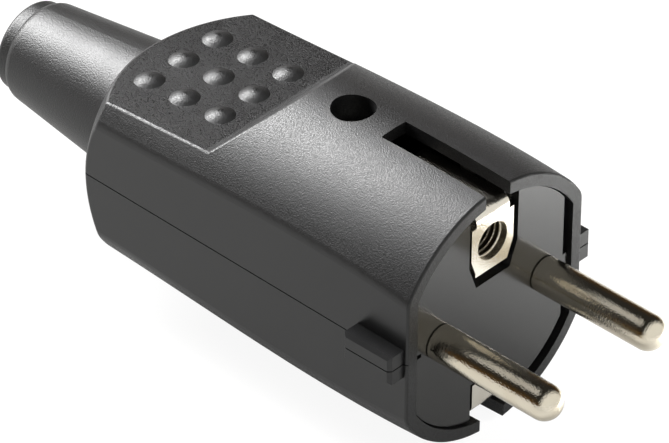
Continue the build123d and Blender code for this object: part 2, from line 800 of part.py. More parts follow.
pieces = [
    upper_shell.part,
    lower_shell.part,
    contact_carrier.part,
    *pins.values(),
    earth_strap.part,
    earth_socket.part,
    *terminal_plates.values(),
    *terminal_screws.values(),
    earth_washer.part,
    earth_screw.part,
    housing_screw.part,
    housing_nut.part,
    clamp_bar.part,
    *clamp_screws.values(),
    *clamp_nuts.values(),
    kink_sleeve.part,
]

os.makedirs("parts", exist_ok=True)
for piece in pieces:
    export_step(piece, "parts/" + piece.label + ".step")
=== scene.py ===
"""Looks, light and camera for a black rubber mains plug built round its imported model."""

import math

import bmesh
import bpy
from bpy.props import FloatProperty, FloatVectorProperty, IntProperty, StringProperty
from mathutils import Euler, Matrix, Vector


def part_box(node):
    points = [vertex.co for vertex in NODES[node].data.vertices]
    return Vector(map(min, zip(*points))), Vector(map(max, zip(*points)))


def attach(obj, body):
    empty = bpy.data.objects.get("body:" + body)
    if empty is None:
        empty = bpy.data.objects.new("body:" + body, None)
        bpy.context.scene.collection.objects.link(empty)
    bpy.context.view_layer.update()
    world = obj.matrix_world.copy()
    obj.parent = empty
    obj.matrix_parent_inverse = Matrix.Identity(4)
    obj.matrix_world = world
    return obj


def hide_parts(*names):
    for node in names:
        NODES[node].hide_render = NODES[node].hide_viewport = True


bl_info = {
    "name": "Rubber Plug",
    "version": (1, 0, 0),
    "blender": (4, 5, 0),
    "location": "View3D > Sidebar > Plug",
    "description": "Materials, small fasteners, stage and camera for a rubber mains plug",
    "category": "Object",
}

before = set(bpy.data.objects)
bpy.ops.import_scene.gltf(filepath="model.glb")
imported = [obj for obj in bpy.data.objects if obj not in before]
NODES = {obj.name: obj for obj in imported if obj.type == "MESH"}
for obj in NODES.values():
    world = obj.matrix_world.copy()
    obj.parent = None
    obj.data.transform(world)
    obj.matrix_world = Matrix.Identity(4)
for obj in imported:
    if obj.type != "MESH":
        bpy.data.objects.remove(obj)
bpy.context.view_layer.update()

MM = 0.001
# Sides of a round, points in one turn of thread, and the angle in degrees below which edges are smooth
ROUND_STEPS = 48
TURN_STEPS = 24
SMOOTH_BELOW = 32
M35_RADIUS = 1.75 * MM
M4_RADIUS = 2.0 * MM
# Depth of a thread as a share of its pitch
THREAD_SHARE = 0.48
# Share of the head's height that the core stands up into it, so that the two join
CORE_IN_HEAD = 0.3
# Pitches of bare core at each end of a thread
RUN_OUT = 0.8
CROWN_POWER = 4.0
# Length of the slot's cutter, in radii of the head
CUTTER_REACH = 2.6
# Depth inside the flank over which the shells' grain fades in
FLANK_EDGE = (0.02 * MM, 0.35 * MM)
# Where the finer grain of the thumb grips fades in: by height, by X, and by how far the skin faces up
GRIP_HEIGHT = (10.4 * MM, 10.8 * MM)
GRIP_FRONT = (-36.6 * MM, -36.9 * MM)
GRIP_FACING = (0.975, 0.996)
# How much smoother or rougher than the mean the shells' grain gets
SPARKLE = 0.12
# Widths of the patterns in the other finishes
SHELL_MOTTLE = 9 * MM
SLEEVE_GRAIN = 0.2 * MM
SLEEVE_MOTTLE = 6 * MM
FLOW_WIDTH = 5 * MM
FIBRE_WIDTH = 0.6 * MM
STAIN_WIDTH = 4 * MM
PEEL_WIDTH = 0.22 * MM
# The studio, in metres
PLUG_MIDDLE = (-0.03, 0, 0)
GLINT_PLACE = (-0.3, -0.13, 0.43)
GLINT_SIZE = (0.33, 0.25)
WASH_PLACE = (0.055, 0.07, 0.015)
WASH_TARGET = (0.055, 0.07, -0.02)
WASH_SIZE = (0.03, 0.03)
FLOOR_REACH = 1.5
# X from where the painted light on the paper in front of the pins begins, and where it is full
PAINTED_LIGHT_X = (0.05, 0.16)
RUBBER_NODES = ("upper_shell", "lower_shell")
NICKEL_NODES = ("earth_strap",)
SOCKET_NODES = ("earth_socket",)
PIN_NODES = ("pin_left", "pin_right")
ZINC_NODES = (
    "terminal_plate_left",
    "terminal_plate_right",
    "earth_washer",
    "housing_nut",
    "clamp_nut_left",
    "clamp_nut_right",
)
# Each screw's node, whether it lies along X with its head to the rear, and the turn of its slot in degrees
SCREWS = (
    ("housing_screw", False, 52),
    ("terminal_screw_left", False, 18),
    ("terminal_screw_right", False, -35),
    ("earth_screw", True, 74),
    ("clamp_screw_left", False, -12),
    ("clamp_screw_right", False, 40),
)


def linear(hex_colour):
    """Linear RGBA of an sRGB hex colour such as "#2b2b2d"."""
    channels = [int(hex_colour[i : i + 2], 16) / 255 for i in (1, 3, 5)]
    return [c / 12.92 if c <= 0.04045 else ((c + 0.055) / 1.055) ** 2.4 for c in channels] + [1.0]


def add_node(tree, kind, settings=None, links=None):
    """Add one node, set its properties or sockets by name, and link its inputs from other sockets."""
    node = tree.nodes.new(kind)
    for name, value in (settings or {}).items():
        if isinstance(name, str) and hasattr(node, name):
            setattr(node, name, value)
        else:
            node.inputs[name].default_value = value
    for name, socket in (links or {}).items():
        tree.links.new(socket, node.inputs[name])
    return node


def new_material(name, settings):
    """Material with a Principled shader set as given; returns the material, its tree and the shader."""
    material = bpy.data.materials.new(name)
    material.use_nodes = True
    tree = material.node_tree
    tree.nodes.clear()
    shader = add_node(tree, "ShaderNodeBsdfPrincipled", settings)
    add_node(tree, "ShaderNodeOutputMaterial", links={"Surface": shader.outputs[0]})
    return material, tree, shader


def wear(node_names, material):
    """Give CAD nodes a material."""
    for name in node_names:
        mesh = NODES[name].data
        mesh.materials.clear()
        mesh.materials.append(material)


def grained_rubber(sizes):
    """Black thermoplastic rubber, moulded against a spark-eroded tool.

    The eye sees a satin black whose highlight breaks into specks on the grained
    barrel and grip, and stays even on the two polished flanks.
    """
    material, tree, shader = new_material(
        "black_thermoplastic_rubber_spark_eroded",
        {"Roughness": 0.5, "IOR": 1.5, "Base Color": linear(sizes.rubber_colour)},
    )
    place = add_node(tree, "ShaderNodeTexCoord").outputs["Object"]
    parts = add_node(tree, "ShaderNodeSeparateXYZ", links={0: place})
    # How far a point lies inside the flank's plane: 0 on the flank, more on the grained barrel
    taper = add_node(
        tree,
        "ShaderNodeMath",
        {"operation": "MULTIPLY_ADD", 1: sizes.flank_taper, 2: sizes.flank_front * MM},
        {0: parts.outputs["X"]},
    )
    out = add_node(tree, "ShaderNodeMath", {"operation": "ABSOLUTE"}, {0: parts.outputs["Y"]})
    depth = add_node(
        tree, "ShaderNodeMath", {"operation": "SUBTRACT"}, {0: taper.outputs[0], 1: out.outputs[0]}
    )
    grained = add_node(
        tree,
        "ShaderNodeMapRange",
        {"From Min": FLANK_EDGE[0], "From Max": FLANK_EDGE[1]},
        {"Value": depth.outputs[0]},
    ).outputs["Result"]
    # The two thumb grips are eroded finer: behind the ramp, above the sides of the barrel
    high = add_node(tree, "ShaderNodeMath", {"operation": "ABSOLUTE"}, {0: parts.outputs["Z"]}).outputs[0]
    on_top = add_node(
        tree,
        "ShaderNodeMapRange",
        {"From Min": GRIP_HEIGHT[0], "From Max": GRIP_HEIGHT[1]},
        {"Value": high},
    ).outputs["Result"]
    behind = add_node(
        tree,
        "ShaderNodeMapRange",
        {"From Min": GRIP_FRONT[0], "From Max": GRIP_FRONT[1]},
        {"Value": parts.outputs["X"]},
    ).outputs["Result"]
    normal = add_node(tree, "ShaderNodeNewGeometry").outputs["Normal"]
    upward = add_node(tree, "ShaderNodeSeparateXYZ", links={0: normal}).outputs["Z"]
    facing = add_node(tree, "ShaderNodeMath", {"operation": "ABSOLUTE"}, {0: upward}).outputs[0]
    # The nubs keep the barrel's coarser finish
    level = add_node(
        tree,
        "ShaderNodeMapRange",
        {"From Min": GRIP_FACING[0], "From Max": GRIP_FACING[1]},
        {"Value": facing},
    ).outputs["Result"]
    pad = add_node(tree, "ShaderNodeMath", {"operation": "MULTIPLY"}, {0: on_top, 1: behind}).outputs[0]
    grip = add_node(tree, "ShaderNodeMath", {"operation": "MULTIPLY"}, {0: pad, 1: level}).outputs[0]
    # Spark grain: real craters are 0.05 to 0.1 mm wide, drawn 0.18 mm wide so that they show
    pits = add_node(
        tree, "ShaderNodeTexVoronoi", {"Scale": 1 / (sizes.grain_width * MM)}, {"Vector": place}
    ).outputs["Distance"]
    haze = add_node(
        tree,
        "ShaderNodeTexNoise",
        {"Scale": 1 / (sizes.grain_width * MM), "Detail": 2.0},
        {"Vector": place},
    ).outputs["Fac"]
    grain = add_node(tree, "ShaderNodeMath", {"operation": "ADD"}, {0: pits, 1: haze}).outputs[0]
    broad = add_node(
        tree, "ShaderNodeTexNoise", {"Scale": 1 / SHELL_MOTTLE, "Detail": 2.0}, {"Vector": place}
    ).outputs["Fac"]
    strength = add_node(
        tree,
        "ShaderNodeMapRange",
        {"To Min": 0.03, "To Max": 0.55},
        {"Value": grained},
    ).outputs["Result"]
    bump = add_node(
        tree,
        "ShaderNodeBump",
        {"Distance": sizes.grain_depth * MM},
        {"Height": grain, "Strength": strength},
    ).outputs["Normal"]
    tree.links.new(bump, shader.inputs["Normal"])
    roughness = add_node(
        tree,
        "ShaderNodeMapRange",
        {"To Min": 0.28, "To Max": 0.4},
        {"Value": grained},
    ).outputs["Result"]
    uneven = add_node(
        tree,
        "ShaderNodeMath",
        {"operation": "MULTIPLY_ADD", 1: 0.08},
        {0: broad, 2: roughness},
    ).outputs[0]
    finer = add_node(
        tree, "ShaderNodeMath", {"operation": "MULTIPLY_ADD", 1: -0.14}, {0: grip, 2: uneven}
    ).outputs[0]
    # Between the craters the skin is smoother, which is what makes the highlight sparkle
    sparkle = add_node(
        tree,
        "ShaderNodeMapRange",
        {"From Min": 0.6, "From Max": 1.2, "To Min": -SPARKLE, "To Max": SPARKLE},
        {"Value": grain},
    ).outputs["Result"]
    specked = add_node(
        tree, "ShaderNodeMath", {"operation": "MULTIPLY_ADD"}, {0: sparkle, 1: grained, 2: finer}
    ).outputs[0]
    tree.links.new(specked, shader.inputs["Roughness"])
    return material


def satin_rubber(sizes):
    """Softer black rubber of the kink sleeve, moulded in a blasted tool.

    The eye sees an even satin black with one broad soft highlight along the cone.
    """
    material, tree, shader = new_material(
        "soft_black_rubber_satin_moulded",
        {"Roughness": 0.4, "IOR": 1.5, "Base Color": linear(sizes.rubber_colour)},
    )
    place = add_node(tree, "ShaderNodeTexCoord").outputs["Object"]
    grain = add_node(
        tree, "ShaderNodeTexNoise", {"Scale": 1 / SLEEVE_GRAIN, "Detail": 2.0}, {"Vector": place}
    ).outputs["Fac"]
    bump = add_node(
        tree, "ShaderNodeBump", {"Distance": 0.06 * MM, "Strength": 0.9}, {"Height": grain}
    ).outputs["Normal"]
    tree.links.new(bump, shader.inputs["Normal"])
    broad = add_node(
        tree, "ShaderNodeTexNoise", {"Scale": 1 / SLEEVE_MOTTLE, "Detail": 2.0}, {"Vector": place}
    ).outputs["Fac"]
    uneven = add_node(
        tree, "ShaderNodeMapRange", {"To Min": 0.4, "To Max": 0.48}, {"Value": broad}
    ).outputs["Result"]
    tree.links.new(uneven, shader.inputs["Roughness"])
    return material


def polished_plastic(sizes):
    """Black polyamide of the contact carrier, moulded in a polished tool.

    The eye sees a smooth black face that mirrors the pins a little softly.
    """
    material, tree, shader = new_material(
        "black_polyamide_polish_moulded",
        {"Roughness": 0.16, "IOR": 1.53, "Base Color": linear(sizes.carrier_colour)},
    )
    place = add_node(tree, "ShaderNodeTexCoord").outputs["Object"]
    flow = add_node(
        tree, "ShaderNodeTexNoise", {"Scale": 1 / FLOW_WIDTH, "Detail": 3.0}, {"Vector": place}
    ).outputs["Fac"]
    uneven = add_node(
        tree, "ShaderNodeMapRange", {"To Min": 0.12, "To Max": 0.24}, {"Value": flow}
    ).outputs["Result"]
    tree.links.new(uneven, shader.inputs["Roughness"])
    bump = add_node(
        tree, "ShaderNodeBump", {"Distance": 0.02 * MM, "Strength": 0.15}, {"Height": flow}
    ).outputs["Normal"]
    tree.links.new(bump, shader.inputs["Normal"])
    return material


def matt_plastic(sizes):
    """Glass-filled polyamide of the clamp bar: a dull grey black with a faint mottle of fibres."""
    material, tree, shader = new_material(
        "glass_filled_polyamide_moulded",
        {"Roughness": 0.55, "IOR": 1.53, "Base Color": linear(sizes.carrier_colour)},
    )
    place = add_node(tree, "ShaderNodeTexCoord").outputs["Object"]
    fibres = add_node(
        tree, "ShaderNodeTexNoise", {"Scale": 1 / FIBRE_WIDTH, "Detail": 4.0}, {"Vector": place}
    ).outputs["Fac"]
    mottle = add_node(
        tree,
        "ShaderNodeMix",
        {"data_type": "RGBA", 6: linear("#1d1d1f"), 7: linear("#2a2a2c")},
        {0: fibres},
    ).outputs[2]
    tree.links.new(mottle, shader.inputs["Base Color"])
    return material


def plated_metal(name, colour, tint, roughness, spacing, turned):
    """Plated metal with fine lines: rings across X where turned, a mottle where stamped."""
    material, tree, shader = new_material(name, {"Metallic": 1.0, "Roughness": roughness})
    place = add_node(tree, "ShaderNodeTexCoord").outputs["Object"]
    stretch = (1.0, 0.02, 0.02) if turned else (1.0, 1.0, 1.0)
    lined = add_node(
        tree, "ShaderNodeMapping", {"Scale": stretch}, {"Vector": place}
    ).outputs["Vector"]
    lines = add_node(
        tree, "ShaderNodeTexNoise", {"Scale": 1 / (spacing * MM), "Detail": 2.0}, {"Vector": lined}
    ).outputs["Fac"]
    stain = add_node(
        tree, "ShaderNodeTexNoise", {"Scale": 1 / STAIN_WIDTH, "Detail": 3.0}, {"Vector": place}
    ).outputs["Fac"]
    colours = add_node(
        tree,
        "ShaderNodeMix",
        {"data_type": "RGBA", 6: linear(colour), 7: linear(tint)},
        {0: stain},
    ).outputs[2]
    tree.links.new(colours, shader.inputs["Base Color"])
    bump = add_node(
        tree, "ShaderNodeBump", {"Distance": 0.004 * MM, "Strength": 0.35}, {"Height": lines}
    ).outputs["Normal"]
    # Faint peel of the plating: really 0.05 mm wide, drawn wider so that it shows
    peel = add_node(
        tree, "ShaderNodeTexNoise", {"Scale": 1 / PEEL_WIDTH, "Detail": 1.0}, {"Vector": place}
    ).outputs["Fac"]
    uneven = add_node(
        tree,
        "ShaderNodeBump",
        {"Distance": 0.05 * MM, "Strength": 0.7},
        {"Height": peel, "Normal": bump},
    ).outputs["Normal"]
    tree.links.new(uneven, shader.inputs["Normal"])
    return material


def new_tree(name, inputs):
    """Geometry Nodes tree with named number inputs; returns the tree and its input node."""
    tree = bpy.data.node_groups.new(name, "GeometryNodeTree")
    for label in inputs:
        tree.interface.new_socket(label, in_out="INPUT", socket_type="NodeSocketFloat")
    tree.interface.new_socket("Geometry", in_out="OUTPUT", socket_type="NodeSocketGeometry")
    return tree, add_node(tree, "NodeGroupInput")


def close_tree(tree, geometry, material):
    """End a tree with Realize Instances and Set Material."""
    real = add_node(tree, "GeometryNodeRealizeInstances", links={0: geometry})
    worn = add_node(
        tree, "GeometryNodeSetMaterial", {"Material": material}, {"Geometry": real.outputs[0]}
    )
    add_node(tree, "NodeGroupOutput", links={0: worn.outputs[0]})


def grown_mesh(name, tree, sizes, place):
    """Plain object grown by a tree from sizes given by input name, its mesh moved to its place."""
    seed = bpy.data.objects.new(name + "_seed", bpy.data.meshes.new(name + "_seed"))
    bpy.context.scene.collection.objects.link(seed)
    modifier = seed.modifiers.new("grow", "NODES")
    modifier.node_group = tree
    for item in tree.interface.items_tree:
        if item.in_out == "INPUT":
            modifier[item.identifier] = float(sizes[item.name])
    ready = seed.evaluated_get(bpy.context.evaluated_depsgraph_get())
    mesh = bpy.data.meshes.new_from_object(ready)
    mesh.name = name
    seed.modifiers.remove(modifier)
    bpy.data.objects.remove(seed)
    mesh.transform(place)
    mesh.polygons.foreach_set("use_smooth", [True] * len(mesh.polygons))
    mesh.set_sharp_from_angle(angle=math.radians(SMOOTH_BELOW))
    mesh.update()
    if not mesh.polygons:
        raise RuntimeError(name + " came out empty")
    piece = bpy.data.objects.new(name, mesh)
    bpy.context.scene.collection.objects.link(piece)
    return piece


def screw_core(tree, size, root):
    """Plain core of a screw, below the origin and a little up into the head."""
    overlap = add_node(
        tree, "ShaderNodeMath", {"operation": "MULTIPLY", 1: CORE_IN_HEAD}, {0: size["Head Height"]}
    ).outputs[0]
    length = add_node(
        tree, "ShaderNodeMath", {"operation": "ADD"}, {0: size["Thread Length"], 1: overlap}
    ).outputs[0]
    core = add_node(
        tree,
        "GeometryNodeMeshCylinder",
        {"Vertices": ROUND_STEPS},
        {"Radius": root, "Depth": length},
    ).outputs["Mesh"]
    half = add_node(tree, "ShaderNodeMath", {"operation": "MULTIPLY", 1: -0.5}, {0: length}).outputs[0]
    drop = add_node(tree, "ShaderNodeMath", {"operation": "ADD"}, {0: half, 1: overlap}).outputs[0]
    down = add_node(tree, "ShaderNodeCombineXYZ", links={2: drop}).outputs[0]
    return add_node(
        tree, "GeometryNodeTransform", links={"Geometry": core, "Translation": down}
    ).outputs[0]


def screw_thread(tree, size, root):
    """Four-sided ridge swept along a helix that stops short of both ends of the thread's length."""
    bare = add_node(
        tree, "ShaderNodeMath", {"operation": "MULTIPLY", 1: 2 * RUN_OUT}, {0: size["Pitch"]}
    ).outputs[0]
    run = add_node(
        tree, "ShaderNodeMath", {"operation": "SUBTRACT"}, {0: size["Thread Length"], 1: bare}
    ).outputs[0]
    turns = add_node(
        tree, "ShaderNodeMath", {"operation": "DIVIDE"}, {0: run, 1: size["Pitch"]}
    ).outputs[0]
    helix = add_node(
        tree,
        "GeometryNodeCurveSpiral",
        {"Resolution": TURN_STEPS},
        {"Rotations": turns, "Start Radius": root, "End Radius": root, "Height": run},
    ).outputs[0]
    upright = add_node(
        tree, "GeometryNodeSetCurveNormal", {"mode": "Z_UP"}, {"Curve": helix}
    ).outputs[0]
    ridge = add_node(
        tree, "GeometryNodeCurvePrimitiveCircle", {"Resolution": 4}, {"Radius": size["Thread Depth"]}
    ).outputs[0]
    thread = add_node(
        tree,
        "GeometryNodeCurveToMesh",
        {"Fill Caps": True},
        {"Curve": upright, "Profile Curve": ridge},
    ).outputs[0]
    bottom = add_node(
        tree, "ShaderNodeMath", {"operation": "MULTIPLY", 1: -1.0}, {0: size["Thread Length"]}
    ).outputs[0]
    gap = add_node(
        tree, "ShaderNodeMath", {"operation": "MULTIPLY", 1: RUN_OUT}, {0: size["Pitch"]}
    ).outputs[0]
    lift = add_node(tree, "ShaderNodeMath", {"operation": "ADD"}, {0: bottom, 1: gap}).outputs[0]
    lowest = add_node(tree, "ShaderNodeCombineXYZ", links={2: lift}).outputs[0]
    return add_node(
        tree, "GeometryNodeTransform", links={"Geometry": thread, "Translation": lowest}
    ).outputs[0]


def crowned_head(tree, size):
    """Short cylinder above the origin whose top falls away towards its edge."""
    blank = add_node(
        tree,
        "GeometryNodeMeshCylinder",
        {"Vertices": ROUND_STEPS, "Side Segments": 3, "Fill Segments": 8},
        {"Radius": size["Head Radius"], "Depth": size["Head Height"]},
    ).outputs["Mesh"]
    half = add_node(
        tree, "ShaderNodeMath", {"operation": "MULTIPLY", 1: 0.5}, {0: size["Head Height"]}
    ).outputs[0]
    raised = add_node(tree, "ShaderNodeCombineXYZ", links={2: half}).outputs[0]
    standing = add_node(
        tree, "GeometryNodeTransform", links={"Geometry": blank, "Translation": raised}
    ).outputs[0]
    # Each point sinks with its height and with a power of its distance from the axis
    place = add_node(tree, "GeometryNodeInputPosition").outputs[0]
    at = add_node(tree, "ShaderNodeSeparateXYZ", links={0: place}).outputs
    flat_point = add_node(tree, "ShaderNodeCombineXYZ", links={0: at[0], 1: at[1]}).outputs[0]
    out = add_node(
        tree, "ShaderNodeVectorMath", {"operation": "LENGTH"}, {0: flat_point}
    ).outputs["Value"]
    outward = add_node(
        tree, "ShaderNodeMath", {"operation": "DIVIDE"}, {0: out, 1: size["Head Radius"]}
    ).outputs[0]
    share = add_node(
        tree, "ShaderNodeMath", {"operation": "POWER", 1: CROWN_POWER}, {0: outward}
    ).outputs[0]
    crown = add_node(
        tree, "ShaderNodeMath", {"operation": "MULTIPLY"}, {0: share, 1: size["Head Crown"]}
    ).outputs[0]
    fall = add_node(tree, "ShaderNodeMath", {"operation": "MULTIPLY"}, {0: crown, 1: at[2]}).outputs[0]
    sunk = add_node(tree, "ShaderNodeMath", {"operation": "MULTIPLY", 1: -1.0}, {0: fall}).outputs[0]
    offset = add_node(tree, "ShaderNodeCombineXYZ", links={2: sunk}).outputs[0]
    return add_node(
        tree, "GeometryNodeSetPosition", links={"Geometry": standing, "Offset": offset}
    ).outputs[0]


def slotted(tree, size, head):
    """The head with a screwdriver slot cut across its top."""
    length = add_node(
        tree, "ShaderNodeMath", {"operation": "MULTIPLY", 1: CUTTER_REACH}, {0: size["Head Radius"]}
    ).outputs[0]
    # Half of the cutter stands above the head
    depth = add_node(
        tree, "ShaderNodeMath", {"operation": "MULTIPLY", 1: 2.0}, {0: size["Slot Depth"]}
    ).outputs[0]
    slot_size = add_node(
        tree, "ShaderNodeCombineXYZ", links={0: length, 1: size["Slot Width"], 2: depth}
    ).outputs[0]
    block = add_node(tree, "GeometryNodeMeshCube", links={"Size": slot_size}).outputs["Mesh"]
    top = add_node(tree, "ShaderNodeCombineXYZ", links={2: size["Head Height"]}).outputs[0]
    turn = add_node(tree, "ShaderNodeCombineXYZ", links={2: size["Slot Turn"]}).outputs[0]
    cutter = add_node(
        tree,
        "GeometryNodeTransform",
        links={"Geometry": block, "Translation": top, "Rotation": turn},
    ).outputs[0]
    return add_node(
        tree, "GeometryNodeMeshBoolean", {"operation": "DIFFERENCE"}, {0: head, 1: cutter}
    ).outputs[0]


def screw_tree(material):
    """Slotted machine screw: head up from the origin, rolled thread downwards."""
    tree, sizes = new_tree(
        "slotted_machine_screw",
        (
            "Thread Radius",
            "Thread Length",
            "Pitch",
            "Thread Depth",
            "Head Radius",
            "Head Height",
            "Head Crown",
            "Slot Width",
            "Slot Depth",
            "Slot Turn",
        ),
    )
    size = sizes.outputs
    root = add_node(
        tree,
        "ShaderNodeMath",
        {"operation": "SUBTRACT"},
        {0: size["Thread Radius"], 1: size["Thread Depth"]},
    ).outputs[0]
    core = screw_core(tree, size, root)
    thread = screw_thread(tree, size, root)
    head = slotted(tree, size, crowned_head(tree, size))
    whole = add_node(tree, "GeometryNodeMeshBoolean", {"operation": "UNION"})
    for part in (head, core, thread):
        tree.links.new(part, whole.inputs[1])
    close_tree(tree, whole.outputs[0], material)
    return tree


def ring_tree(material):
    """Row of turned rings along X, each a small round bead."""
    tree, sizes = new_tree(
        "turned_ring_row", ("Ring Radius", "Bead Radius", "Spacing", "Ring Count")
    )
    size = sizes.outputs
    path = add_node(
        tree,
        "GeometryNodeCurvePrimitiveCircle",
        {"Resolution": ROUND_STEPS},
        {"Radius": size["Ring Radius"]},
    ).outputs[0]
    bead = add_node(
        tree, "GeometryNodeCurvePrimitiveCircle", {"Resolution": 8}, {"Radius": size["Bead Radius"]}
    ).outputs[0]
    ring = add_node(
        tree, "GeometryNodeCurveToMesh", links={"Curve": path, "Profile Curve": bead}
    ).outputs[0]
    upright = add_node(
        tree, "GeometryNodeTransform", {"Rotation": (0, math.radians(90), 0)}, {"Geometry": ring}
    ).outputs[0]
    back = add_node(
        tree, "ShaderNodeMath", {"operation": "MULTIPLY", 1: -1.0}, {0: size["Spacing"]}
    ).outputs[0]
    step = add_node(tree, "ShaderNodeCombineXYZ", links={0: back}).outputs[0]
    row = add_node(
        tree, "GeometryNodeMeshLine", links={"Count": size["Ring Count"], "Offset": step}
    ).outputs[0]
    rings = add_node(
        tree, "GeometryNodeInstanceOnPoints", links={"Points": row, "Instance": upright}
    ).outputs[0]
    close_tree(tree, rings, material)
    return tree


class PlugLooks(bpy.types.PropertyGroup):
    """Sizes and colours of the plug's finishes."""

    rubber_colour: StringProperty(
        name="Rubber colour", description="sRGB hex of the rubber", default="#0a0a0b"
    )
    carrier_colour: StringProperty(
        name="Carrier colour", description="sRGB hex of the carrier", default="#121211"
    )
    grain_width: FloatProperty(
        name="Grain width", description="Width of one drawn grain in mm", default=0.18, min=0.05, max=2.0
    )
    grain_depth: FloatProperty(
        name="Grain depth", description="Depth of the grain in mm", default=0.04, min=0.0, max=0.5
    )
    flank_front: FloatProperty(
        name="Flank half width",
        description="Distance of the flank from the middle at the rim, mm",
        default=15.93,
    )
    flank_taper: FloatProperty(
        name="Flank taper", description="How much the flank draws in for each unit back", default=0.01686
    )


class FastenerSizes(bpy.types.PropertyGroup):
    """Sizes shared by the plug's screws and the rings of its earth socket."""

    head_height: FloatProperty(
        name="Head height", description="Height of every screw head", default=2.2 * MM, unit="LENGTH"
    )
    head_crown: FloatProperty(
        name="Head crown",
        description="Share of the head's height that its edge falls",
        default=0.3,
        min=0,
        max=0.9,
    )
    slot_width: FloatProperty(
        name="Slot width", description="Width of the slot", default=1.0 * MM, unit="LENGTH"
    )
    slot_depth: FloatProperty(
        name="Slot depth", description="Depth of the slot", default=1.1 * MM, unit="LENGTH"
    )
    fine_pitch: FloatProperty(
        name="M3.5 pitch", description="Thread pitch of the small screws", default=0.6 * MM, unit="LENGTH"
    )
    coarse_pitch: FloatProperty(
        name="M4 pitch", description="Thread pitch of the housing screw", default=0.7 * MM, unit="LENGTH"
    )
    ring_radius: FloatProperty(
        name="Ring radius",
        description="Middle of a bead in the earth socket",
        default=2.62 * MM,
        unit="LENGTH",
    )
    bead_radius: FloatProperty(
        name="Bead radius",
        description="Half the width of one turned ring",
        default=0.13 * MM,
        unit="LENGTH",
    )
    ring_spacing: FloatProperty(
        name="Ring spacing", description="From ring to ring", default=0.8 * MM, unit="LENGTH"
    )
    ring_count: IntProperty(name="Ring count", description="Rings in the earth socket", default=5, min=1)


class StageSizes(bpy.types.PropertyGroup):
    """Sizes and levels of the studio."""

    camera_place: FloatVectorProperty(
        name="Camera place",
        description="Where the camera stands",
        default=(0.4492, -0.5173, 0.5287),
        subtype="XYZ",
        unit="LENGTH",
    )
    camera_turn: FloatVectorProperty(
        name="Camera turn",
        description="Euler angles of the camera",
        default=[math.radians(a) for a in (53.02, -0.578, 43.062)],
        subtype="EULER",
    )
    lens: FloatProperty(name="Lens", description="Focal length in mm", default=379.5, min=10)
    key_power: FloatProperty(
        name="Key power", description="Power of the window light", default=11.2, unit="POWER"
    )
    key_roll: FloatProperty(
        name="Key roll",
        description="Lean of the window light",
        default=math.radians(29),
        subtype="ANGLE",
    )
    key_size: FloatVectorProperty(
        name="Key size",
        description="Width and height of the window light",
        size=2,
        default=(0.2, 0.42),
        unit="LENGTH",
    )
    key_distance: FloatProperty(
        name="Key distance", description="From the plug to the window light", default=0.527, unit="LENGTH"
    )
    key_direction: FloatVectorProperty(
        name="Key direction",
        description="Way to the window light",
        default=(-0.75, -0.01, 0.66),
        subtype="DIRECTION",
    )
    glint_power: FloatProperty(
        name="Glint power",
        description="Power of the window as bare metal mirrors it",
        default=0.13,
        unit="POWER",
    )
    wash_power: FloatProperty(
        name="Wash power",
        description="Power of the light on the paper in front",
        default=0.5,
        unit="POWER",
    )
    ceiling_level: FloatProperty(
        name="Ceiling level", description="Strength of the dim ceiling", default=0.05
    )


def plug_settings():
    """The scene's own copy of the plug's settings."""
    scene = bpy.context.scene
    return scene.plug_looks, scene.plug_fasteners, scene.plug_stage


class OBJECT_OT_plug_housing(bpy.types.Operator):
    """Finish the two shells, the kink sleeve, the contact carrier and the clamp bar"""

    bl_idname = "object.plug_housing"
    bl_label = "Finish Mouldings"

    def execute(self, context):
        looks = plug_settings()[0]
        wear(RUBBER_NODES, grained_rubber(looks))
        wear(("kink_sleeve",), satin_rubber(looks))
        wear(("contact_carrier",), polished_plastic(looks))
        wear(("clamp_bar",), matt_plastic(looks))
        return {"FINISHED"}


class OBJECT_OT_plug_contacts(bpy.types.Operator):
    """Finish the pins, the earth strap, the earth socket and the fasteners"""

    bl_idname = "object.plug_contacts"
    bl_label = "Finish Metal"

    def execute(self, context):
        # Warm bright pins with fine turned rings
        turned = plated_metal(
            "nickel_plated_brass_turned", "#ebe5d6", "#d2c6ae", roughness=0.12, spacing=0.12, turned=True
        )
        # A paler, slightly softer mirror on the stamped strip
        stamped = plated_metal(
            "nickel_plated_brass_stamped", "#f0ece3", "#dcd4c4", roughness=0.2, spacing=0.3, turned=False
        )
        # Brass colour painted dark: painted shade of the deep hole, not the metal's own tone
        bore_shaded = plated_metal(
            "brass_bore_painted_shade", "#4c4435", "#383226", roughness=0.38, spacing=0.2, turned=True
        )
        # Cool grey with a soft shine
        headed = plated_metal(
            "zinc_plated_steel_cold_headed", "#c9c9c6", "#b3b1a9", roughness=0.3, spacing=0.2, turned=False
        )
        wear(PIN_NODES, turned)
        wear(NICKEL_NODES, stamped)
        wear(SOCKET_NODES, bore_shaded)
        wear(ZINC_NODES, headed)
        return {"FINISHED"}


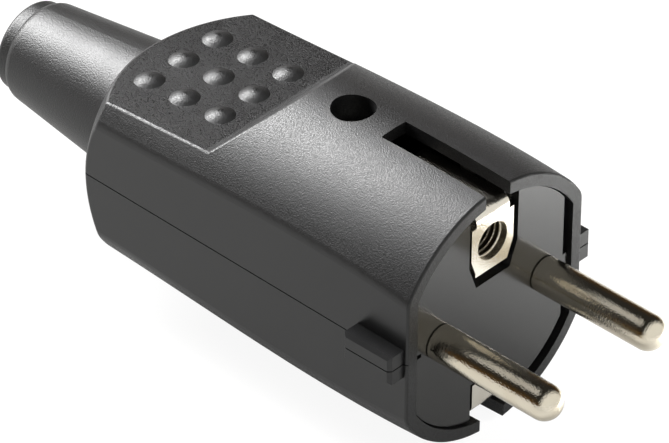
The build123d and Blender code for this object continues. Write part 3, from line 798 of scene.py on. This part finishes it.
class OBJECT_OT_plug_screws(bpy.types.Operator):
    """Cut the threads and slots of the six screws"""

    bl_idname = "object.plug_screws"
    bl_label = "Cut Screws"

    def execute(self, context):
        sizes = plug_settings()[1]
        # Cool and a little brighter than the plates
        zinc = plated_metal(
            "zinc_plated_steel_thread_rolled",
            "#d4d4cf",
            "#bdbab0",
            roughness=0.24,
            spacing=0.2,
            turned=False,
        )
        tree = screw_tree(zinc)
        for node, lying, slot_turn in SCREWS:
            low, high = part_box(node)
            middle, extent = (low + high) / 2, high - low
            along = 0 if lying else 2
            head_radius = extent[1] / 2
            thread_length = extent[along] - sizes.head_height
            coarse = node == "housing_screw"
            pitch = sizes.coarse_pitch if coarse else sizes.fine_pitch
            values = {
                "Thread Radius": M4_RADIUS if coarse else M35_RADIUS,
                "Thread Length": thread_length,
                "Pitch": pitch,
                "Thread Depth": pitch * THREAD_SHARE,
                "Head Radius": head_radius,
                "Head Height": sizes.head_height,
                "Head Crown": sizes.head_crown,
                "Slot Width": sizes.slot_width,
                "Slot Depth": sizes.slot_depth,
                "Slot Turn": math.radians(slot_turn),
            }
            if lying:
                turned = Matrix(((0, 0, -1), (0, 1, 0), (1, 0, 0))).to_4x4()
                under_head = Vector((low.x + sizes.head_height, middle.y, middle.z))
            else:
                turned = Matrix.Identity(4)
                under_head = Vector((middle.x, middle.y, high.z - sizes.head_height))
            screw = grown_mesh(node + "_threaded", tree, values, Matrix.Translation(under_head) @ turned)
            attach(screw, "root")
            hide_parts(node)
        return {"FINISHED"}


class OBJECT_OT_plug_socket_rings(bpy.types.Operator):
    """Turn the rings inside the earth socket, which the hole in the plate shows"""

    bl_idname = "object.plug_socket_rings"
    bl_label = "Turn Socket Rings"

    def execute(self, context):
        sizes = plug_settings()[1]
        # Bright thin circles against the bore, whose colour is painted dark as shade
        nickel = plated_metal(
            "nickel_plated_brass_ringed", "#f4f0e6", "#dcd4c4", roughness=0.16, spacing=0.3, turned=False
        )
        low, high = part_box("earth_socket")
        mouth = Vector((high.x - sizes.bead_radius, (low.y + high.y) / 2, (low.z + high.z) / 2))
        values = {
            "Ring Radius": sizes.ring_radius,
            "Bead Radius": sizes.bead_radius,
            "Spacing": sizes.ring_spacing,
            "Ring Count": sizes.ring_count,
        }
        rings = grown_mesh("earth_socket_rings", ring_tree(nickel), values, Matrix.Translation(mouth))
        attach(rings, "root")
        return {"FINISHED"}


def studio_lamp(scene, name, place, target, size, power, roll=0.0):
    """Rectangular softbox at a place, turned to a target and rolled, hidden from the camera."""
    lamp = bpy.data.lights.new(name, "AREA")
    lamp.shape = "RECTANGLE"
    lamp.size, lamp.size_y = size
    lamp.energy = power
    box = bpy.data.objects.new(name, lamp)
    box.location = place
    facing = (Vector(place) - Vector(target)).to_track_quat("Z", "Y")
    box.rotation_euler = (facing @ Euler((0, 0, roll)).to_quaternion()).to_euler()
    box.visible_camera = False
    scene.collection.objects.link(box)
    return box


def light_link(lamp, pieces, state):
    """Let a lamp light only some pieces (INCLUDE), or all but them (EXCLUDE)."""
    receivers = bpy.data.collections.new(lamp.name + "_receivers")
    for piece in pieces:
        receivers.objects.link(piece)
    lamp.light_linking.receiver_collection = receivers
    for member in receivers.collection_objects:
        member.light_linking.link_state = state


def studio_floor(scene, height):
    """White floor: it shows as white paper in views and reflections, and keeps a soft shadow."""
    mesh = bpy.data.meshes.new("studio_floor")
    shape = bmesh.new()
    bmesh.ops.create_grid(shape, x_segments=8, y_segments=8, size=FLOOR_REACH)
    bmesh.ops.translate(shape, verts=shape.verts, vec=(0, 0, height))
    shape.to_mesh(mesh)
    shape.free()
    floor = bpy.data.objects.new("studio_floor", mesh)
    scene.collection.objects.link(floor)
    material = bpy.data.materials.new("white_paper_sweep")
    material.use_nodes = True
    tree = material.node_tree
    tree.nodes.clear()
    path = add_node(tree, "ShaderNodeLightPath")
    # Whole white paper for the camera; in reflections more of its real light and shadow is left
    in_view = add_node(
        tree, "ShaderNodeMath", {"operation": "MULTIPLY", 1: 0.92}, {0: path.outputs["Is Camera Ray"]}
    ).outputs[0]
    share = add_node(
        tree,
        "ShaderNodeMath",
        {"operation": "MULTIPLY_ADD", 1: 0.72},
        {0: path.outputs["Is Glossy Ray"], 2: in_view},
    ).outputs[0]
    level = add_node(
        tree,
        "ShaderNodeMapRange",
        {"To Min": 0.32, "To Max": 1.0},
        {"Value": path.outputs["Is Camera Ray"]},
    ).outputs["Result"]
    # Painted light: in reflections the paper gets brighter far in front of the pins, a painted stand-in
    # for the plug's shadow near its face, and their round tips mirror it
    place = add_node(tree, "ShaderNodeTexCoord").outputs["Object"]
    forward = add_node(tree, "ShaderNodeSeparateXYZ", links={0: place}).outputs["X"]
    painted_light_ahead = add_node(
        tree,
        "ShaderNodeMapRange",
        {"From Min": PAINTED_LIGHT_X[0], "From Max": PAINTED_LIGHT_X[1], "To Max": 0.68},
        {"Value": forward},
    ).outputs["Result"]
    level = add_node(
        tree, "ShaderNodeMath", {"operation": "ADD", "use_clamp": True}, {0: level, 1: painted_light_ahead}
    ).outputs[0]
    paper = add_node(tree, "ShaderNodeBsdfDiffuse", {"Color": linear("#f4f4f2")})
    white = add_node(tree, "ShaderNodeEmission", {"Color": linear("#ffffff")}, {"Strength": level})
    mixed = add_node(
        tree, "ShaderNodeMixShader", links={0: share, 1: paper.outputs[0], 2: white.outputs[0]}
    )
    add_node(tree, "ShaderNodeOutputMaterial", links={"Surface": mixed.outputs[0]})
    mesh.materials.append(material)
    return floor


def studio_world(scene, level):
    """White low down, then a dim warm room under a dark ceiling; the camera sees white all round."""
    world = bpy.data.worlds.new("white_studio")
    scene.world = world
    world.use_nodes = True
    tree = world.node_tree
    tree.nodes.clear()
    path = add_node(tree, "ShaderNodeLightPath")
    seen = add_node(
        tree,
        "ShaderNodeMath",
        {"operation": "MAXIMUM"},
        {0: path.outputs["Is Camera Ray"], 1: path.outputs["Is Transmission Ray"]},
    ).outputs[0]
    way = add_node(tree, "ShaderNodeTexCoord").outputs["Generated"]
    split = add_node(tree, "ShaderNodeSeparateXYZ", links={0: way})
    height = split.outputs["Z"]
    room = add_node(tree, "ShaderNodeValToRGB", links={0: height})
    # Height of the way looked at, colour and strength
    stops = (
        (0.0, "#ffffff", 1.0),
        (0.05, "#b08a58", 0.3),
        (0.3, "#a8875c", 0.13),
        (0.55, "#c0bdb8", level),
    )
    ramp = room.color_ramp
    while len(ramp.elements) < len(stops):
        ramp.elements.new(1.0)
    for element, (at, colour, strength) in zip(ramp.elements, stops):
        element.position = at
        element.color = [channel * strength for channel in linear(colour)[:3]] + [1.0]
    # A white screen stands in front of the pins; their round tips mirror it
    front = add_node(
        tree, "ShaderNodeMapRange", {"From Min": 0.1, "From Max": 0.4}, {"Value": split.outputs["X"]}
    ).outputs["Result"]
    screened = add_node(
        tree,
        "ShaderNodeMix",
        {"data_type": "RGBA", 7: linear("#f4f4f2")},
        {0: front, 6: room.outputs["Color"]},
    ).outputs[2]
    shown = add_node(
        tree,
        "ShaderNodeMix",
        {"data_type": "RGBA", 7: linear("#ffffff")},
        {0: seen, 6: screened},
    ).outputs[2]
    walls = add_node(tree, "ShaderNodeBackground", {"Strength": 1.0}, {"Color": shown})
    add_node(tree, "ShaderNodeOutputWorld", links={"Surface": walls.outputs[0]})


class OBJECT_OT_plug_stage(bpy.types.Operator):
    """Build the floor, the studio light and the camera"""

    bl_idname = "object.plug_stage"
    bl_label = "Build Stage"

    def execute(self, context):
        stage = plug_settings()[2]
        scene = context.scene
        floor = studio_floor(scene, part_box("lower_shell")[0].z)
        studio_world(scene, stage.ceiling_level)
        metal = [NODES[name] for name in PIN_NODES + NICKEL_NODES + SOCKET_NODES + ZINC_NODES]
        metal += [bpy.data.objects[node + "_threaded"] for node, _, _ in SCREWS]
        metal.append(bpy.data.objects["earth_socket_rings"])
        middle = Vector(PLUG_MIDDLE)
        window = middle + Vector(stage.key_direction).normalized() * stage.key_distance
        key = studio_lamp(
            scene, "window_key", window, middle, stage.key_size, stage.key_power, stage.key_roll
        )
        light_link(key, metal, "EXCLUDE")
        # Bare metal would mirror the window as a burnt-out patch, so it gets a dimmed copy of it
        glint = studio_lamp(scene, "metal_glint", GLINT_PLACE, middle, GLINT_SIZE, stage.glint_power)
        light_link(glint, metal, "INCLUDE")
        # The paper in front of the plug is lit apart, and the glossy face mirrors it
        wash = studio_lamp(
            scene, "paper_wash", WASH_PLACE, WASH_TARGET, WASH_SIZE, stage.wash_power
        )
        light_link(wash, [floor], "INCLUDE")

        camera = bpy.data.objects.new("photo_camera", bpy.data.cameras.new("photo_camera"))
        camera.location = stage.camera_place
        camera.rotation_euler = Euler(stage.camera_turn)
        camera.data.lens = stage.lens
        camera.data.sensor_width = 36
        camera.data.clip_start, camera.data.clip_end = 0.05, 20
        scene.collection.objects.link(camera)
        scene.camera = camera
        scene.view_settings.view_transform = "Standard"
        return {"FINISHED"}


OPERATORS = (
    OBJECT_OT_plug_housing,
    OBJECT_OT_plug_contacts,
    OBJECT_OT_plug_screws,
    OBJECT_OT_plug_socket_rings,
    OBJECT_OT_plug_stage,
)


class VIEW3D_PT_plug(bpy.types.Panel):
    """Lists the plug's settings and the steps that build it"""

    bl_label = "Rubber Plug"
    bl_idname = "VIEW3D_PT_plug"
    bl_space_type = "VIEW_3D"
    bl_region_type = "UI"
    bl_category = "Plug"

    def draw(self, context):
        for group in plug_settings():
            for name in group.__annotations__:
                self.layout.prop(group, name)
        for operator in OPERATORS:
            self.layout.operator(operator.bl_idname)


CLASSES = (PlugLooks, FastenerSizes, StageSizes, *OPERATORS, VIEW3D_PT_plug)


def register():
    for cls in CLASSES:
        bpy.utils.register_class(cls)
    bpy.types.Scene.plug_looks = bpy.props.PointerProperty(type=PlugLooks)
    bpy.types.Scene.plug_fasteners = bpy.props.PointerProperty(type=FastenerSizes)
    bpy.types.Scene.plug_stage = bpy.props.PointerProperty(type=StageSizes)


def unregister():
    del bpy.types.Scene.plug_stage
    del bpy.types.Scene.plug_fasteners
    del bpy.types.Scene.plug_looks
    for cls in reversed(CLASSES):
        bpy.utils.unregister_class(cls)


def main():
    register()
    bpy.ops.object.plug_housing()
    bpy.ops.object.plug_contacts()
    bpy.ops.object.plug_screws()
    bpy.ops.object.plug_socket_rings()
    bpy.ops.object.plug_stage()


if __name__ == "__main__":
    main()
